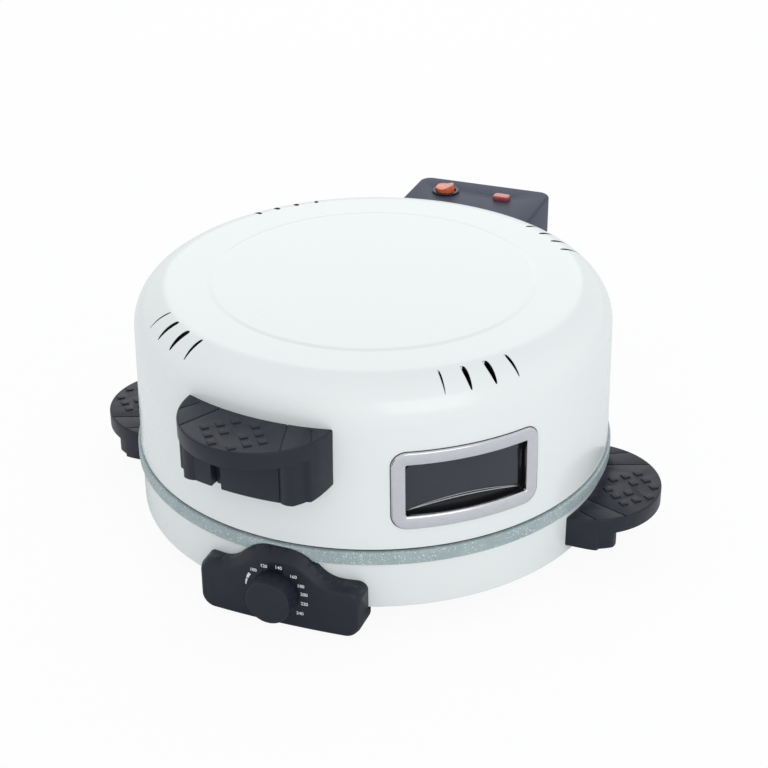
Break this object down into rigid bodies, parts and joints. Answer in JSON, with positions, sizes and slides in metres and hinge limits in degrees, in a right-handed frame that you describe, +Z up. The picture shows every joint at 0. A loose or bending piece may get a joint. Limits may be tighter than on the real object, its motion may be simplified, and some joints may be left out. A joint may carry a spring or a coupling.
{
  "type": "electric flatbread maker",
  "caption": "Round electric flatbread maker: domed white steel lid hinged at the back on a shallow heated base, with a coated pan, side handles, window and thermostat knob.",
  "frame": {"origin": "on the table, under the centre of the whole part's box", "axes": "+Z up, -Y towards the front (knob), +X to the right seen from the front"},
  "size_m": [0.528, 0.572, 0.222],
  "materials": {
    "painted_steel": "gloss white enamel paint on sheet steel",
    "speckled_coating": "grey-green granite-speckled non-stick coating",
    "bare_sheet": "plain bright sheet",
    "black_moulding": "satin black heat-proof moulding",
    "steel_hardware": "zinc-plated",
    "brushed_frame": "polished steel",
    "dark_glass": "toughened, slightly smoked",
    "soft_rubber": "matte silicone",
    "heater_sheath": "oxidised sheath",
    "copper_bulb": "plain",
    "pale_moulding": "matte ceramic-like moulding",
    "orange_rocker": "translucent orange-red",
    "red_lens": "translucent red"
  },
  "bodies": {
    "base": {"bottom_plate": "bare_sheet", "feet": "soft_rubber", "foot_screws": "steel_hardware", "bottom_plate_screws": "steel_hardware", "side_handle_right": "black_moulding", "side_handle_left": "black_moulding", "side_handle_screws": "steel_hardware", "control_panel": "black_moulding", "panel_screws": "steel_hardware", "base_hinge_bracket": "bare_sheet", "base_hinge_screws": "steel_hardware", "hinge_pin": "steel_hardware", "hinge_pin_clip": "steel_hardware", "terminal_box": "black_moulding", "terminal_box_screws": "steel_hardware", "base_shell": "painted_steel", "cord_gland": "black_moulding", "terminal_block": "pale_moulding", "thermostat": "black_moulding", "thermostat_nut": "steel_hardware", "thermostat_bulb": "copper_bulb", "bulb_clip": "bare_sheet", "lower_heater": "heater_sheath", "lower_heater_clips": "bare_sheet", "lower_reflector": "bare_sheet", "baking_pan": "speckled_coating"},
    "lid": {"lid_handle": "black_moulding", "lid_handle_screws": "steel_hardware", "lid_hinge_bracket": "bare_sheet", "lid_hinge_screws": "steel_hardware", "lid_shell": "painted_steel", "window_frame": "brushed_frame", "window_gasket": "soft_rubber", "window_glass": "dark_glass", "window_retainer": "bare_sheet", "upper_heater": "heater_sheath", "upper_heater_clips": "bare_sheet", "lid_liner": "bare_sheet", "rear_housing": "black_moulding", "rear_housing_base": "black_moulding", "rear_housing_screws": "steel_hardware", "switch_bezel": "black_moulding", "switch_body": "black_moulding", "lamp_lens": "red_lens", "lamp_holder": "black_moulding"},
    "knob": {"knob": "black_moulding", "knob_shaft": "steel_hardware"},
    "rocker": {"switch_rocker": "orange_rocker"}
  },
  "joints": [
    {"name": "lid_hinge", "type": "hinge", "parent": "base", "child": "lid", "pos_m": [0, 0.20854, 0.072], "axis": [-1, 0, 0], "range_deg": [0, 90]},
    {"name": "knob_turn", "type": "hinge", "parent": "base", "child": "knob", "pos_m": [0, -0.25396, 0.035], "axis": [0, 1, 0], "range_deg": [0, 270]},
    {"name": "rocker_tip", "type": "hinge", "parent": "lid", "child": "rocker", "pos_m": [-0.029, 0.25304, 0.1906], "axis": [0, 1, 0], "range_deg": [0, 20]}
  ]
}
